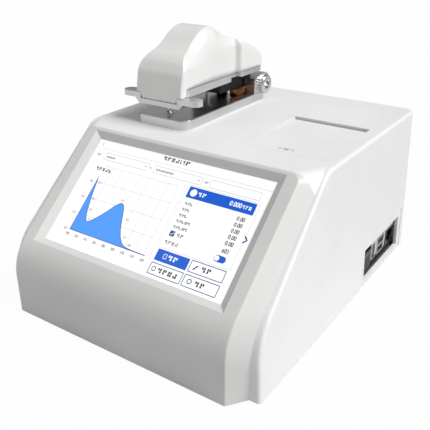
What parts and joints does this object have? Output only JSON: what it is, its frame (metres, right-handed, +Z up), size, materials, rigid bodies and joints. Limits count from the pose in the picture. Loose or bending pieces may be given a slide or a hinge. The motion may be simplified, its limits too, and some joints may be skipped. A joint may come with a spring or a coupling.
{
  "type": "spectrophotometer",
  "caption": "Bench spectrophotometer: wedge-shaped case with a sloped touch display, a hinged micro-volume measuring arm, a lidded cuvette well and a side recess of ports.",
  "frame": {"origin": "middle of the footprint, on the table under the feet", "axes": "+Z up, -Y towards the user and the sloped display, +X towards the side with the ports"},
  "size_m": [0.2196, 0.275, 0.196],
  "materials": {
    "case_white": "fine satin moulding",
    "fascia_grey_white": "fine satin moulding",
    "hood_white": "satin moulding",
    "pan_grey": "powder coat",
    "foot_rubber": "moulded",
    "screw_steel": "zinc plated",
    "steel_bright": "ground and polished",
    "arm_aluminium": "fine blasted, clear anodised",
    "plate_aluminium": "brushed, clear anodised",
    "black_plastic": "fine texture",
    "black_gloss": "polished",
    "display_glass": "cover glass over a lit display",
    "gasket_foam": "soft foam",
    "sheet_steel": "plain",
    "port_metal": "tin plated",
    "tongue_white": "moulded",
    "board_green": "solder mask",
    "parts_black": "moulded",
    "bench_black": "black anodised",
    "fibre_steel": "jacket",
    "copper_flex": "copper-coloured film",
    "magnet_nickel": "nickel plated",
    "lens_glass": "polished"
  },
  "bodies": {
    "root": {"housing_shell": "case_white", "front_fascia": "fascia_grey_white", "base_pan": "pan_grey", "rubber_feet": "foot_rubber", "base_screws": "screw_steel", "display_glass": "display_glass", "display_gasket": "gasket_foam", "lcd_module": "parts_black", "display_frame": "sheet_steel", "display_screws": "screw_steel", "lid_pins": "steel_bright", "sample_tray": "black_plastic", "tray_keeper": "steel_bright", "cuvette_holder": "bench_black", "cuvette_lenses": "lens_glass", "cuvette_lamp": "bench_black", "cuvette_fibre": "fibre_steel", "spectrometer_bench": "bench_black", "detector_fibre": "fibre_steel", "mainboard": "board_green", "board_standoffs": "screw_steel", "board_parts": "parts_black", "heat_sink": "bench_black", "power_board": "board_green", "power_parts": "parts_black", "io_panel": "black_plastic", "panel_screws": "screw_steel", "network_jack": "black_gloss", "usb_stack": "port_metal", "usb_slim": "port_metal", "port_tongues": "tongue_white", "rocker_frame": "black_gloss", "power_socket": "black_plastic", "fan_frame": "black_plastic", "fan_guard": "screw_steel", "fan_screws": "screw_steel", "arm_base_plate": "plate_aluminium", "plate_screws": "screw_steel", "hinge_cheek_left": "plate_aluminium", "hinge_cheek_right": "plate_aluminium", "hinge_pin": "steel_bright", "hinge_caps": "steel_bright", "sample_pedestal": "steel_bright", "stop_posts": "steel_bright", "flex_ribbon": "copper_flex", "path_actuator": "bench_black"},
    "arm": {"arm_frame": "arm_aluminium", "arm_hood": "hood_white", "knuckle": "arm_aluminium", "hinge_bushes": "black_plastic", "knuckle_screws": "screw_steel", "upper_pedestal": "steel_bright", "flash_lamp": "bench_black", "strike_pad": "steel_bright"},
    "lid": {"cuvette_lid": "case_white", "lid_magnet": "magnet_nickel"},
    "rocker": {"power_rocker": "black_gloss"},
    "plunger": {"path_plunger": "steel_bright", "actuator_rod": "screw_steel"},
    "fan": {"fan_rotor": "black_plastic"}
  },
  "joints": [
    {"name": "arm_lift", "type": "hinge", "parent": "root", "child": "arm", "pos_m": [-0.045, 0.0935, 0.1388], "axis": [-1, 0, 0], "range_deg": [0, 75]},
    {"name": "lid_lift", "type": "hinge", "parent": "root", "child": "lid", "pos_m": [0.0612, 0.0565, 0.1193], "axis": [-1, 0, 0], "range_deg": [0, 80]},
    {"name": "power_switch", "type": "hinge", "parent": "root", "child": "rocker", "pos_m": [0.101, 0.0535, 0.02], "axis": [0, 1, 0], "range_deg": [-10, 10]},
    {"name": "path_adjust", "type": "slide", "parent": "root", "child": "plunger", "axis": [0, 0, 1], "range_m": [-0.001, 0]},
    {"name": "fan_spin", "type": "hinge", "parent": "root", "child": "fan", "pos_m": [-0.04, 0.1265, 0.072], "axis": [0, 1, 0], "continuous": true}
  ]
}
